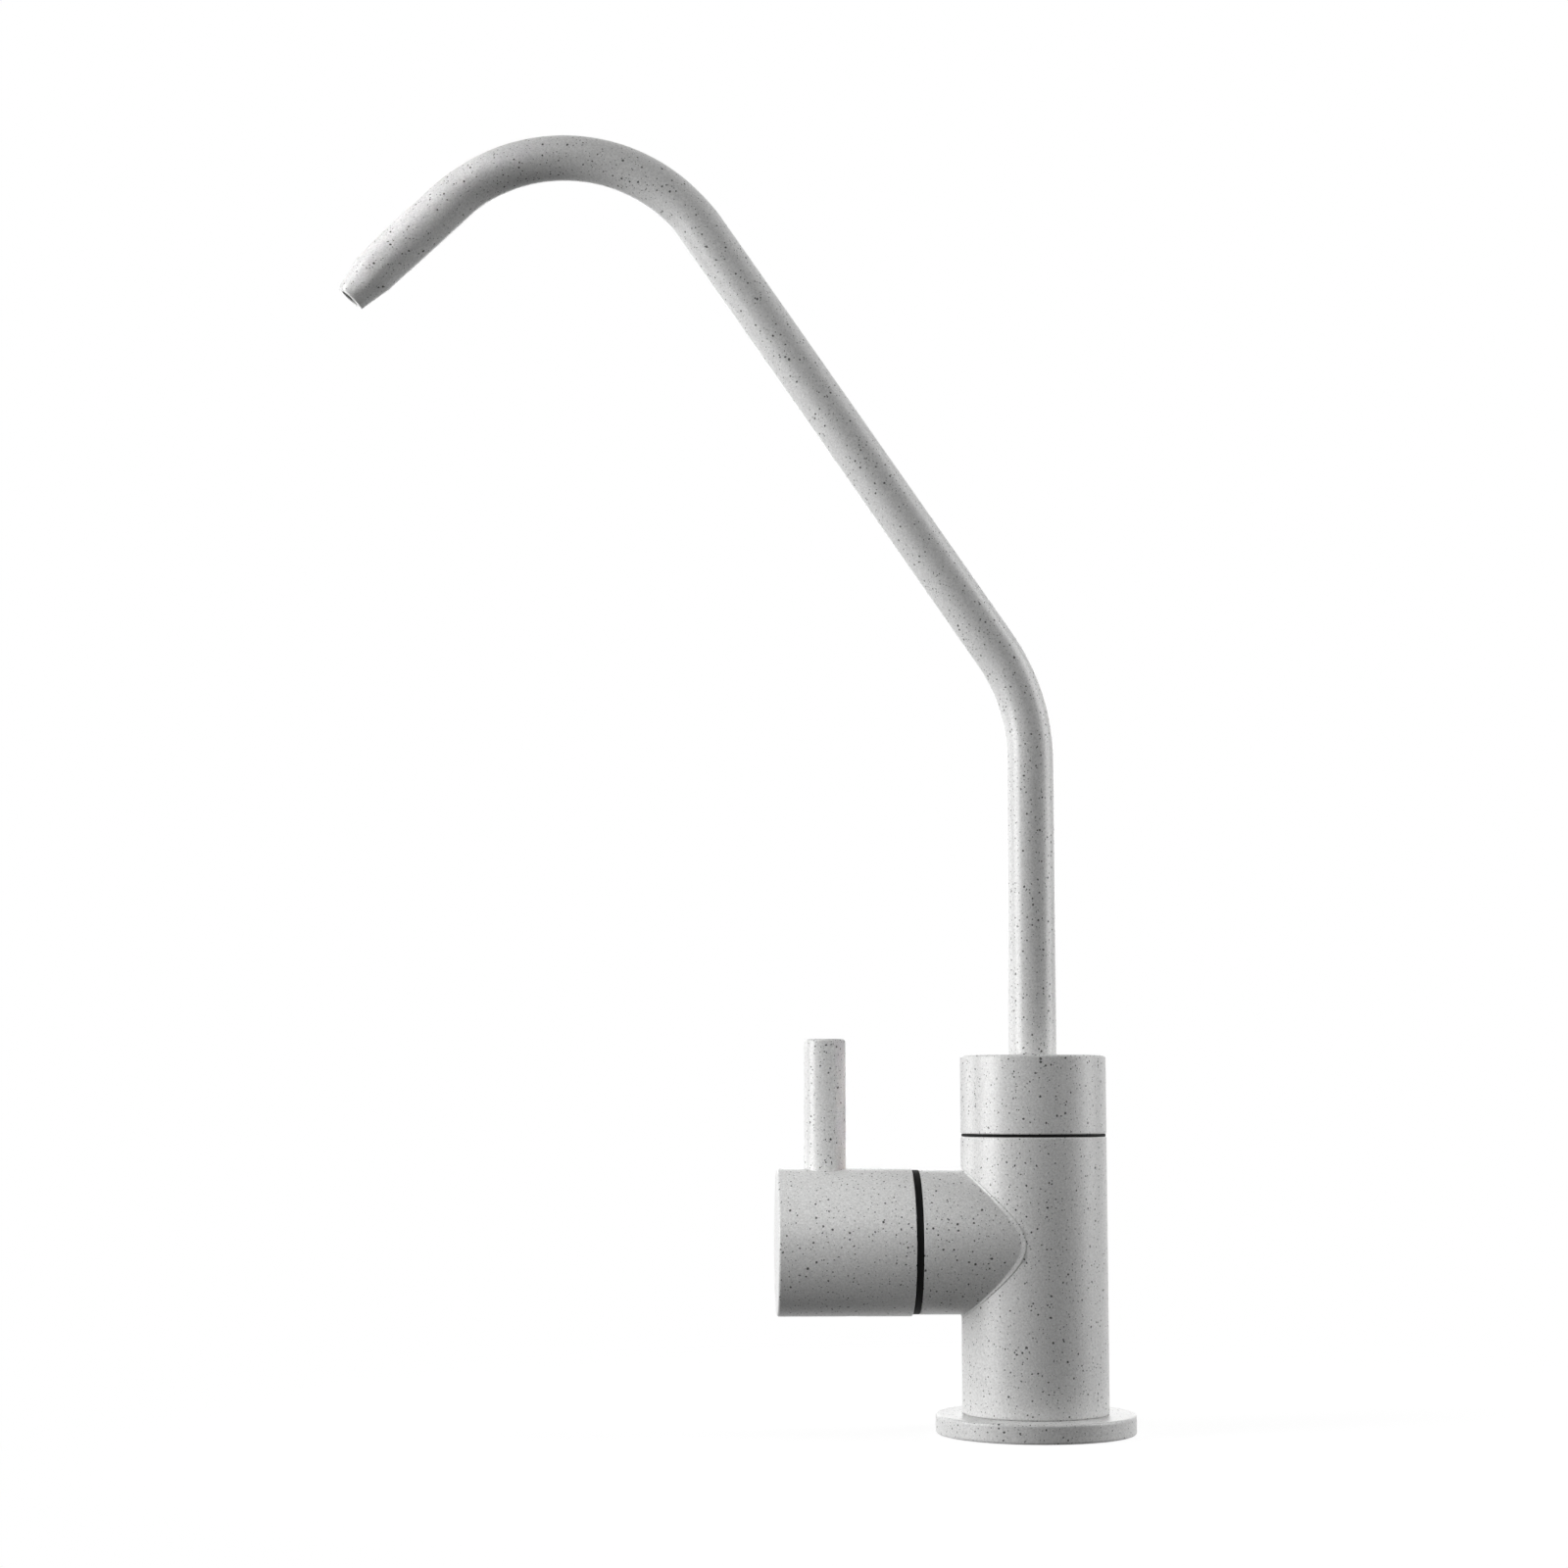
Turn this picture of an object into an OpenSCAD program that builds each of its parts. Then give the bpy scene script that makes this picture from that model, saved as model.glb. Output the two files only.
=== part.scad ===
// Drinking water filter tap, in millimetres, with +Z up.
// The origin lies on the deck, on the axis of the body. The handle and the spout point to -X.

/* [Base] */
// Diameter of the base flange
flange_d = 43.6; // [40:0.2:60]
// Thickness of the base flange
flange_h = 4.2; // [3:0.1:8]
// Distance from the rim of the flange in to the gasket
gasket_inset = 3.8; // [2:0.1:6]
// Radial width of the gasket
gasket_w = 5; // [2:0.1:6]
// Thickness of the gasket
gasket_t = 1.2; // [0.6:0.1:2]

/* [Body] */
// Diameter of the body and of the collar above it
body_d = 32; // [31:0.2:40]
// Height of the valve axis above the flange
valve_rise = 36.9; // [34:0.1:60]
// How much slimmer than the body the branch is, in radius
branch_step = 0.35; // [0.05:0.05:1]
// Metal between the valve chamber and the spout socket
neck_wall = 1.85; // [1.5:0.05:20]
// Diameter of the waterway up the body
inlet_d = 8; // [6:0.1:9]
// Metal between the waterway and the valve seat
seat_wall = 2; // [1.5:0.1:4]

/* [Valve] */
// Thread diameter of the valve cartridge
cartridge_d = 20; // [19:0.1:21.4]
// Depth of the valve chamber
chamber_l = 19.5; // [19:0.1:30]
// Diameter of the spindle
spindle_d = 8; // [7:0.1:9]
// Length of the spline on the spindle
spline_l = 9; // [6:0.1:12]
// Height of the hexagonal flange of the cartridge
hex_h = 4; // [3:0.1:6]

/* [Handle] */
// Diameter of the handle hub
hub_d = 32; // [31:0.2:40]
// Length of the handle hub
hub_l = 29.5; // [27:0.1:40]
// Width of the black band between the branch and the hub
band_w = 1.5; // [1:0.1:3]
// Distance of the lever from the inner end of the hub
lever_offset = 18.9; // [15:0.1:21]
// Diameter of the lever
lever_d = 9.1; // [8:0.1:11]
// Height of the lever above its seat on the hub
lever_l = 29; // [15:0.5:60]

/* [Collar] */
// Height of the spout collar
collar_h = 17.1; // [15:0.1:30]
// Height of the seam between the body and the collar
seam_h = 0.6; // [0.4:0.05:1.2]
// Diameter of the spigot below the collar
spigot_d = 18; // [17:0.1:20]
// Length of the spigot in the body
spigot_l = 10.7; // [10:0.1:20]

/* [Spout] */
// Outside diameter of the spout tube
tube_d = 10.5; // [9:0.1:11]
// Wall thickness of the spout tube
tube_wall = 1; // [0.6:0.1:1.5]
// Upright run of the tube above the collar
riser_l = 66; // [20:0.5:120]
// Radius of the lower bend
lean_r = 43.1; // [20:0.1:80]
// Angle of the lower bend
lean_angle = 34.56; // [10:0.5:60]
// Straight run between the bends
slope_l = 116.5; // [60:0.5:200]
// Radius of the arch
arch_r = 37.2; // [20:0.1:60]
// Angle of the arch
arch_angle = 100; // [60:0.5:120]
// Straight run after the arch
tail_l = 15.3; // [5:0.1:60]
// Length over which the tube narrows slightly before the tip
ease_l = 8.6; // [4:0.1:20]
// How much it narrows there, in radius
ease_step = 0.3; // [0.1:0.05:0.5]
// Length of the swaged tip
tip_l = 7.6; // [5:0.1:20]
// Outside diameter at the end of the tip
tip_d = 7; // [6:0.1:8.8]

/* [Deck fixing] */
// Diameter of the threaded shank
shank_d = 11.1; // [10:0.1:13]
// Diameter of the waterway through the shank
shank_bore_d = 6.4; // [5:0.1:7]
// Length of the lower thread of the shank, for the supply connector
tail_thread_l = 15; // [8:0.5:30]
// How far the shank screws into the body
shank_grip = 11.8; // [8:0.1:16]
// Thickness of the deck that is clamped
deck_t = 20; // [5:0.5:30]
// Diameter of the two deck washers
washer_d = 34; // [28:0.5:44]
// Width across the flats of the mounting nut
nut_af = 17; // [16:0.5:22]
// Height of the mounting nut
nut_h = 6; // [4:0.5:10]

/* [Hidden] */
$fn = 96;
// Overlap of cutting tools beyond the faces they cut
eps = 0.01;
// How far the tool of a turned groove stands outside the bar
groove_over = 1;
// Clearance of seated and screwed pieces, in radius
fit = 0.05;
// Clearance of the washers and the flange around the shank, in radius
loose = 0.25;
// Gap between faces that pass each other
glide = 0.1;

// Radii
flange_r = flange_d / 2;
body_r = body_d / 2;
branch_r = body_r - branch_step;
hub_r = hub_d / 2;
lever_r = lever_d / 2;
tube_r = tube_d / 2;
tube_bore_r = tube_r - tube_wall;
tip_r = tip_d / 2;
// The swaging of the tip thickens its wall
swage_gain = 1.25;
tip_wall = swage_gain * tube_wall;
tip_bore_r = tip_r - tip_wall;
shank_r = shank_d / 2;
shank_bore_r = shank_bore_d / 2;
inlet_r = inlet_d / 2;
cartridge_r = cartridge_d / 2;
chamber_r = cartridge_r + fit;
spindle_r = spindle_d / 2;
spigot_r = spigot_d / 2;
socket_r = spigot_r + fit;

// Rounded edges, and how far the glide washer stands back in the seam
flange_edge = 0.6;
body_edge = 0.5;
seam_edge = 0.3;
seam_inset = 0.5;
collar_edge = 0.5;
hub_edge = 0.5;
lever_edge = 0.6;

// Heights on the body
valve_z = flange_h + valve_rise;
spigot_gap = 0.3;
socket_z = valve_z + chamber_r + neck_wall;
spigot_z = socket_z + spigot_gap;
body_top = spigot_z + spigot_l;
collar_z = body_top + seam_h;
collar_top = collar_z + collar_h;
shank_top = flange_h + shank_grip;

// Spigot, from its lower end: land, retaining groove, land, seal, land, seal
spigot_land = 0.8;
retain_w = 2.4;
retain_depth = 1.6;
seal_land = 1.1;
seal_w = 1.9;
seal_d = 1.4;
seal_fit = 0.02;
retain_z = spigot_z + spigot_land;
seal_1_z = retain_z + retain_w + seal_land;
seal_2_z = seal_1_z + seal_w + seal_land;
shoulder_lip = 2;
shoulder_r = spigot_r + shoulder_lip;
collar_roof = 7.1;
shoulder_h = collar_h - collar_roof;
tube_seat = 5;
tube_z = spigot_z + tube_seat;

// Valve, measured outwards from the valve seat
seat_x = inlet_r + seat_wall;
branch_x = seat_x + chamber_l;
port_x = 2.3;
port_r = 2.2;
seat_seal_t = 1.8;
seat_seal_lip = 0.5;
seat_seal_clear = 0.4;
disc_t = 2.4;
disc_gap = 0.02;
housing_wall = 2.3;
pocket_r = cartridge_r - housing_wall;
disc_clear = 0.2;
disc_r = pocket_r - disc_clear;
disc_port_r1 = 1.9;
disc_rim = 1.5;
disc_port_r2 = disc_r - disc_rim;
disc_port_angle = 70;
tab_w = 4;
tab_out = 0.8;
housing_foot = 0.3;
fixed_disc_w = seat_seal_t;
moving_disc_w = fixed_disc_w + disc_t + disc_gap;
drive_w = moving_disc_w + disc_t;
blade_t = 3;
blade_inset = 1.2;
blade_l = 2 * (disc_r - blade_inset);
blade_depth = 1.2;
throat_l = 4;
pocket_end = drive_w + throat_l;
thrust_t = 1.2;
thrust_lip = 2;
thrust_r = spindle_r + thrust_lip;
window_gap = 0.4;
window_l = 2.6;
window_w = 8;
slim_step = 0.8;
slim_over = 0.5;
slim_end = pocket_end + slim_over;
housing_ring_w = 1.8;
housing_ring_land = 0.3;
housing_ring_d = 1.4;
housing_ring_z = chamber_l - housing_ring_land - housing_ring_w;
hex_lip = 1;
hex_af = 2 * (cartridge_r + hex_lip);
hex_r = hex_af / 2 / cos(30);
hex_end = chamber_l + hex_h;
gland_wall = 2.8;
gland_r = spindle_r + gland_wall;
gland_h = 4;
gland_end = hex_end + gland_h;
stem_land = 2;
stem_seal_d = 1.2;
stem_seal_w = 1.6;
stem_seal_pitch = 3.2;
stem_seal_1 = pocket_end + stem_land;
stem_seal_2 = stem_seal_1 + stem_seal_pitch;
clip_t = 1;
clip_depth = 0.7;
clip_out = 1.4;
clip_w = gland_end + glide;
spline_teeth = 20;
spline_depth = 0.4;
spline_step = 0.1;
spline_r = spindle_r - spline_step;
spline_gap = 0.9;
spline_w = clip_w + clip_t + spline_gap;
spindle_end = spline_w + spline_l;

// Handle, on the same measure
hub_w = chamber_l + band_w;
band_clear = 0.5;
band_inset = 0.05;
cavity_clear = 0.8;
cavity_r = hex_r + cavity_clear;
cavity_end = spline_w;
lever_w = hub_w + lever_offset;
lever_seat_r = lever_r + glide;
lever_sink = 0.15;
lever_seat = sqrt(hub_r * hub_r - lever_seat_r * lever_seat_r) - lever_sink;
stud_r = 3;
stud_floor = 2.2;
stud_end = spindle_r + stud_floor;
hub_screw_r = 2.5;
hub_screw_l = 8;
hub_socket_r = 1.45;
hub_screw_w = spline_w + spline_l / 2;

// Small screws at the back, how far they lie below the surface,
// and the share of any screw's length that is left below its socket
set_screw_r = 2;
set_screw_fit = 0.03;
set_socket_r = 1.15;
retain_sink = 1;
retain_screw_l = body_r - spigot_r - retain_sink;
collar_sink = 0.8;
collar_screw_l = body_r - shoulder_r - collar_sink;
dog_r = 1.1;
socket_floor = 0.45;

// Deck fixing, downwards from the deck
rubber_t = 2;
steel_t = 1.5;
lock_t = 1;
lock_teeth = 12;
lock_tooth_l = 1.2;
lock_w = 4.4;
lock_r = shank_r + lock_w;
rubber_z = -deck_t - rubber_t;
steel_z = rubber_z - steel_t;
lock_z = steel_z - lock_t;
nut_z = lock_z - nut_h;
nut_r = nut_af / 2 / cos(30);
nut_spare = 1;
relief_w = 1.5;
relief_depth = 0.6;
relief_z = nut_z - nut_spare - relief_w;
shank_z = relief_z - tail_thread_l;

// Spout: how far its straight runs reach into the bends, and how much a bend draws the tube in
lap = 0.05;
bend_draw = 0.03;

// Flat shape that takes a round off an outer corner at the origin, with the solid at -X and -Y
module corner_cut(r) {
    translate([-r, -r])
        difference() {
            square(r + eps);
            circle(r);
        }
}

// Half section of a turned bar with rounded outer edges
module bar_section(r, h, low_edge, high_edge) {
    difference() {
        square([r, h]);
        translate([r, h])
            corner_cut(high_edge);
        translate([r, 0])
            mirror([0, 1])
                corner_cut(low_edge);
    }
}

// Flat ring
module ring(r_in, r_out, h) {
    linear_extrude(h)
        difference() {
            circle(r_out);
            circle(r_in);
        }
}

// Round seal with its centre at the middle of its groove
module o_ring(r_out, section_d, groove_w) {
    translate([0, 0, groove_w / 2])
        rotate_extrude()
            translate([r_out - section_d / 2, 0])
                circle(section_d / 2);
}

// Hexagonal prism
module hex_bar(r, h) {
    linear_extrude(h)
        circle(r, $fn = 6);
}

// Toothed outline, for the spline and its socket
module star(r_tip, r_root, teeth) {
    polygon([
        for (i = [0 : 2 * teeth - 1])
            let (r = i % 2 == 0 ? r_tip : r_root, a = 180 * i / teeth)
                [r * cos(a), r * sin(a)]
    ]);
}

// Sector of a ring, about +X
module sector(r_in, r_out, angle) {
    intersection() {
        difference() {
            circle(r_out);
            circle(r_in);
        }
        polygon([
            [0, 0],
            2 * r_out * [cos(angle / 2), -sin(angle / 2)],
            2 * r_out * [cos(angle / 2), sin(angle / 2)]
        ]);
    }
}

// Socket set screw along +Z, with its point at the origin
module set_screw(r, l, hex_socket_r) {
    difference() {
        cylinder(r = r, h = l);
        translate([0, 0, socket_floor * l])
            hex_bar(hex_socket_r, l);
    }
}

// Places a piece on the valve axis: its +Z points outwards and its +X upwards
module on_valve(w) {
    translate([-seat_x - w, 0, valve_z])
        rotate([0, -90, 0])
            children();
}

// Places a piece with its +Z pointing to the back
module to_back(y, z) {
    translate([0, y, z])
        rotate([-90, 0, 0])
            children();
}

// Straight run of a round bar, with the rest of the bar at its end
module bar_line(r, l) {
    translate([0, 0, -lap])
        cylinder(r = r, h = l + 2 * lap);
    translate([0, 0, l])
        children();
}

// Bend of a round bar towards -X, with the rest of the bar at its end
module bar_bend(r, bend_r, a) {
    translate([-bend_r, 0, 0])
        rotate([90, 0, 0])
            rotate_extrude(angle = a)
                translate([bend_r, 0])
                    circle(r - bend_draw);
    translate([-bend_r, 0, 0])
        rotate([0, -a, 0])
            translate([bend_r, 0, 0])
                children();
}

// Nozzle of a round bar, which narrows slightly and then to its swaged tip
module bar_nozzle(r, end_r, over) {
    ease_r = r - ease_step;
    slope = (end_r - ease_r) / tip_l;
    end_z = ease_l + tip_l + over;
    rotate_extrude()
        polygon([
            [0, -lap],
            [r - bend_draw, -lap],
            [ease_r, ease_l],
            [end_r + slope * over, end_z],
            [0, end_z]
        ]);
}

// Whole run of the spout as a solid bar, with its ends moved out by over
module spout_run(r, end_r, over) {
    translate([0, 0, tube_z + lap - over])
        bar_line(r, collar_top + riser_l - tube_z - lap + over)
            bar_bend(r, lean_r, lean_angle)
                bar_line(r, slope_l)
                    bar_bend(r, arch_r, arch_angle)
                        bar_line(r, tail_l)
                            bar_nozzle(r, end_r, over);
}

module base_flange() {
    color([0.8, 0.8, 0.79])
        difference() {
            rotate_extrude()
                bar_section(flange_r, flange_h, flange_edge, flange_edge);
            translate([0, 0, -eps])
                cylinder(r = shank_r + loose, h = flange_h + 2 * eps);
            translate([0, 0, -eps])
                ring(
                    flange_r - gasket_inset - gasket_w,
                    flange_r - gasket_inset,
                    gasket_t + eps
                );
        }
}

module base_gasket() {
    color([0.05, 0.05, 0.05])
        ring(
            flange_r - gasket_inset - gasket_w + fit,
            flange_r - gasket_inset - fit,
            gasket_t
        );
}

module tap_body() {
    color([0.8, 0.8, 0.79])
        difference() {
            union() {
                translate([0, 0, flange_h])
                    rotate_extrude()
                        bar_section(body_r, body_top - flange_h, body_edge, seam_edge);
                on_valve(-seat_x)
                    rotate_extrude()
                        bar_section(branch_r, branch_x, eps, seam_edge);
            }
            // Thread for the shank, and the waterway to the valve seat
            translate([0, 0, flange_h - eps])
                cylinder(r = shank_r + fit, h = shank_grip + eps);
            translate([0, 0, flange_h])
                cylinder(r = inlet_r, h = valve_rise + inlet_r);
            on_valve(-seat_x)
                cylinder(r = inlet_r, h = seat_x + eps);
            // Valve chamber, and the port from it up to the spout
            on_valve(0)
                cylinder(r = chamber_r, h = chamber_l + eps);
            translate([-seat_x - port_x, 0, valve_z])
                cylinder(r = port_r, h = socket_z - valve_z + eps);
            // Socket for the spigot, and the thread of its retaining screw
            translate([0, 0, socket_z])
                cylinder(r = socket_r, h = body_top - socket_z + eps);
            to_back(spigot_r, retain_z + retain_w / 2)
                cylinder(r = set_screw_r + set_screw_fit, h = body_r);
        }
}

module threaded_shank() {
    color([0.78, 0.6, 0.3])
        difference() {
            translate([0, 0, shank_z])
                ring(shank_bore_r, shank_r, shank_top - shank_z);
            // Relief between the thread of the nut and that of the supply connector
            translate([0, 0, relief_z])
                ring(shank_r - relief_depth, shank_r + groove_over, relief_w);
        }
}

module deck_rubber_washer() {
    color([0.05, 0.05, 0.05])
        translate([0, 0, rubber_z])
            ring(shank_r + loose, washer_d / 2, rubber_t);
}

module deck_steel_washer() {
    color([0.6, 0.6, 0.62])
        translate([0, 0, steel_z])
            ring(shank_r + loose, washer_d / 2, steel_t);
}

module lock_washer() {
    color([0.6, 0.6, 0.62])
        translate([0, 0, lock_z])
            linear_extrude(lock_t)
                difference() {
                    star(lock_r, lock_r - lock_tooth_l, lock_teeth);
                    circle(shank_r + loose);
                }
}

module mounting_nut() {
    color([0.78, 0.6, 0.3])
        translate([0, 0, nut_z])
            difference() {
                intersection() {
                    hex_bar(nut_r, nut_h);
                    rotate_extrude()
                        polygon([
                            [0, 0],
                            [nut_af / 2, 0],
                            [nut_r, nut_r - nut_af / 2],
                            [nut_r, nut_h - nut_r + nut_af / 2],
                            [nut_af / 2, nut_h],
                            [0, nut_h]
                        ]);
                }
                translate([0, 0, -eps])
                    cylinder(r = shank_r + fit, h = nut_h + 2 * eps);
            }
}

module cartridge_housing() {
    color([0.78, 0.6, 0.3])
        on_valve(0)
            difference() {
                union() {
                    translate([0, 0, housing_foot])
                        cylinder(r = cartridge_r - slim_step, h = slim_end - housing_foot);
                    translate([0, 0, slim_end])
                        cylinder(r = cartridge_r, h = housing_ring_z - slim_end);
                    translate([0, 0, housing_ring_z])
                        cylinder(r = cartridge_r - housing_ring_d - seal_fit, h = housing_ring_w);
                    translate([0, 0, housing_ring_z + housing_ring_w])
                        cylinder(r = cartridge_r, h = housing_ring_land);
                    translate([0, 0, chamber_l])
                        hex_bar(hex_r, hex_h);
                    translate([0, 0, hex_end])
                        cylinder(r = gland_r, h = gland_h);
                }
                // Pocket for the discs, with slots for the tabs of the fixed one
                translate([0, 0, housing_foot - eps])
                    cylinder(r = pocket_r, h = pocket_end - housing_foot + eps);
                for (side = [-1, 1])
                    translate([-tab_w / 2 - fit, side * disc_r - tab_out - fit, housing_foot - eps])
                        cube([
                            tab_w + 2 * fit,
                            2 * (tab_out + fit),
                            fixed_disc_w + disc_t - housing_foot + eps
                        ]);
                // Windows for the water
                for (side = [0, 1])
                    mirror([side, 0, 0])
                        translate([0, -window_w / 2, drive_w + window_gap])
                            cube([cartridge_r, window_w, window_l]);
                cylinder(r = spindle_r + fit, h = gland_end + eps);
            }
}

module cartridge_o_ring() {
    color([0.05, 0.05, 0.05])
        on_valve(housing_ring_z)
            o_ring(cartridge_r, housing_ring_d, housing_ring_w);
}

module seat_seal() {
    color([0.55, 0.2, 0.15])
        on_valve(0)
            ring(inlet_r + seat_seal_lip, pocket_r - seat_seal_clear, seat_seal_t);
}

module fixed_disc() {
    color([0.93, 0.92, 0.9])
        on_valve(fixed_disc_w)
            linear_extrude(disc_t)
                difference() {
                    union() {
                        circle(disc_r);
                        square([tab_w, 2 * (disc_r + tab_out)], center = true);
                    }
                    for (turn = [0, 180])
                        rotate(turn)
                            sector(disc_port_r1, disc_port_r2, disc_port_angle);
                }
}

module moving_disc() {
    color([0.93, 0.92, 0.9])
        on_valve(moving_disc_w)
            difference() {
                linear_extrude(disc_t)
                    difference() {
                        circle(disc_r - glide);
                        for (turn = [90, 270])
                            rotate(turn)
                                sector(disc_port_r1, disc_port_r2, disc_port_angle);
                    }
                translate([-disc_r, -blade_t / 2 - fit, disc_t - blade_depth])
                    cube([2 * disc_r, blade_t + 2 * fit, blade_depth + eps]);
            }
}

module valve_spindle() {
    color([0.78, 0.6, 0.3])
        on_valve(0)
            difference() {
                union() {
                    translate([-blade_l / 2, -blade_t / 2, drive_w - blade_depth])
                        cube([blade_l, blade_t, pocket_end - glide - drive_w + blade_depth]);
                    translate([0, 0, pocket_end - glide - thrust_t])
                        cylinder(r = thrust_r, h = thrust_t);
                    translate([0, 0, pocket_end - glide])
                        cylinder(r = spindle_r, h = spline_w - pocket_end + glide);
                    translate([0, 0, spline_w])
                        linear_extrude(spline_l)
                            star(spline_r, spline_r - spline_depth, spline_teeth);
                }
                for (w = [stem_seal_1, stem_seal_2])
                    translate([0, 0, w])
                        ring(spindle_r - stem_seal_d - seal_fit, spindle_r + groove_over, stem_seal_w);
                translate([0, 0, clip_w])
                    ring(spindle_r - clip_depth, spindle_r + groove_over, clip_t);
            }
}

module spindle_o_rings() {
    color([0.05, 0.05, 0.05])
        for (w = [stem_seal_1, stem_seal_2])
            on_valve(w)
                o_ring(spindle_r, stem_seal_d, stem_seal_w);
}

module spindle_circlip() {
    color([0.6, 0.6, 0.62])
        on_valve(clip_w)
            linear_extrude(clip_t)
                difference() {
                    circle(spindle_r + clip_out);
                    circle(spindle_r - clip_depth + seal_fit);
                    translate([0, -spindle_r / 2])
                        square([2 * spindle_r, spindle_r]);
                }
}

module valve_spacer_ring() {
    color([0.03, 0.03, 0.03])
        on_valve(chamber_l)
            ring(hex_r + band_clear, branch_r - band_inset, band_w - glide);
}

module handle_hub() {
    color([0.8, 0.8, 0.79])
        difference() {
            on_valve(hub_w)
                rotate_extrude()
                    bar_section(hub_r, hub_l, seam_edge, hub_edge);
            // Cavity over the cartridge, and the splined socket
            on_valve(hub_w - eps)
                cylinder(r = cavity_r, h = cavity_end - hub_w + eps);
            on_valve(cavity_end - eps)
                linear_extrude(spindle_end - cavity_end + glide)
                    star(spline_r + fit, spline_r - spline_depth + fit, spline_teeth);
            // Seat and thread of the lever
            translate([-seat_x - lever_w, 0, valve_z + lever_seat])
                cylinder(r = lever_seat_r, h = hub_r);
            translate([-seat_x - lever_w, 0, valve_z + stud_end - glide])
                cylinder(r = stud_r + fit, h = lever_seat - stud_end + glide + eps);
            // Thread of the grub screw
            translate([-seat_x - hub_screw_w, 0, valve_z - hub_r])
                cylinder(r = hub_screw_r + set_screw_fit, h = hub_r);
        }
}

module handle_lever() {
    color([0.8, 0.8, 0.79])
        translate([-seat_x - lever_w, 0, valve_z + lever_seat]) {
            rotate_extrude()
                bar_section(lever_r, lever_l, eps, lever_edge);
            translate([0, 0, stud_end - lever_seat])
                cylinder(r = stud_r, h = lever_seat - stud_end);
        }
}

module hub_grub_screw() {
    color([0.6, 0.6, 0.62])
        translate([-seat_x - hub_screw_w, 0, valve_z - spline_r - fit])
            mirror([0, 0, 1])
                set_screw(hub_screw_r, hub_screw_l, hub_socket_r);
}

module spout_glide_washer() {
    color([0.03, 0.03, 0.03])
        translate([0, 0, body_top])
            ring(socket_r + loose, body_r - seam_inset, seam_h - glide);
}

module spout_spigot() {
    color([0.78, 0.6, 0.3])
        difference() {
            union() {
                translate([0, 0, spigot_z])
                    cylinder(r = spigot_r, h = collar_z - spigot_z);
                translate([0, 0, collar_z])
                    cylinder(r = shoulder_r, h = shoulder_h);
            }
            translate([0, 0, spigot_z - eps])
                cylinder(r = tube_bore_r, h = tube_seat + 2 * eps);
            translate([0, 0, tube_z])
                cylinder(r = tube_r + seal_fit, h = collar_h + spigot_l);
            translate([0, 0, retain_z])
                ring(spigot_r - retain_depth, spigot_r + groove_over, retain_w);
            for (z = [seal_1_z, seal_2_z])
                translate([0, 0, z])
                    ring(spigot_r - seal_d - seal_fit, spigot_r + groove_over, seal_w);
        }
}

module spout_o_rings() {
    color([0.05, 0.05, 0.05])
        for (z = [seal_1_z, seal_2_z])
            translate([0, 0, z])
                o_ring(spigot_r, seal_d, seal_w);
}

module spout_retaining_screw() {
    color([0.6, 0.6, 0.62])
        to_back(spigot_r + glide, retain_z + retain_w / 2) {
            set_screw(set_screw_r, retain_screw_l, set_socket_r);
            translate([0, 0, glide - retain_depth])
                cylinder(r = dog_r, h = retain_depth);
        }
}

module spout_collar() {
    color([0.8, 0.8, 0.79])
        difference() {
            translate([0, 0, collar_z])
                rotate_extrude()
                    bar_section(body_r, collar_h, seam_edge, collar_edge);
            translate([0, 0, collar_z - eps])
                cylinder(r = shoulder_r + seal_fit, h = shoulder_h + eps);
            translate([0, 0, collar_z])
                cylinder(r = tube_r + fit, h = collar_h + eps);
            to_back(shoulder_r, collar_z + shoulder_h / 2)
                cylinder(r = set_screw_r + set_screw_fit, h = body_r);
        }
}

module collar_grub_screw() {
    color([0.6, 0.6, 0.62])
        to_back(shoulder_r + fit, collar_z + shoulder_h / 2)
            set_screw(set_screw_r, collar_screw_l, set_socket_r);
}

module spout_tube() {
    color([0.8, 0.8, 0.79])
        difference() {
            spout_run(tube_r, tip_r, 0);
            spout_run(tube_bore_r, tip_bore_r, glide);
        }
}

base_flange();
base_gasket();
tap_body();
threaded_shank();
deck_rubber_washer();
deck_steel_washer();
lock_washer();
mounting_nut();
cartridge_housing();
cartridge_o_ring();
seat_seal();
fixed_disc();
moving_disc();
valve_spindle();
spindle_o_rings();
spindle_circlip();
valve_spacer_ring();
handle_hub();
handle_lever();
hub_grub_screw();
spout_glide_washer();
spout_spigot();
spout_o_rings();
spout_retaining_screw();
spout_collar();
collar_grub_screw();
spout_tube();
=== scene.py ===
"""Drinking water filter tap on a deck: its pieces and their finishes.

Sizes are in millimetres, and those of the light and the camera in metres.
"""

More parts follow.
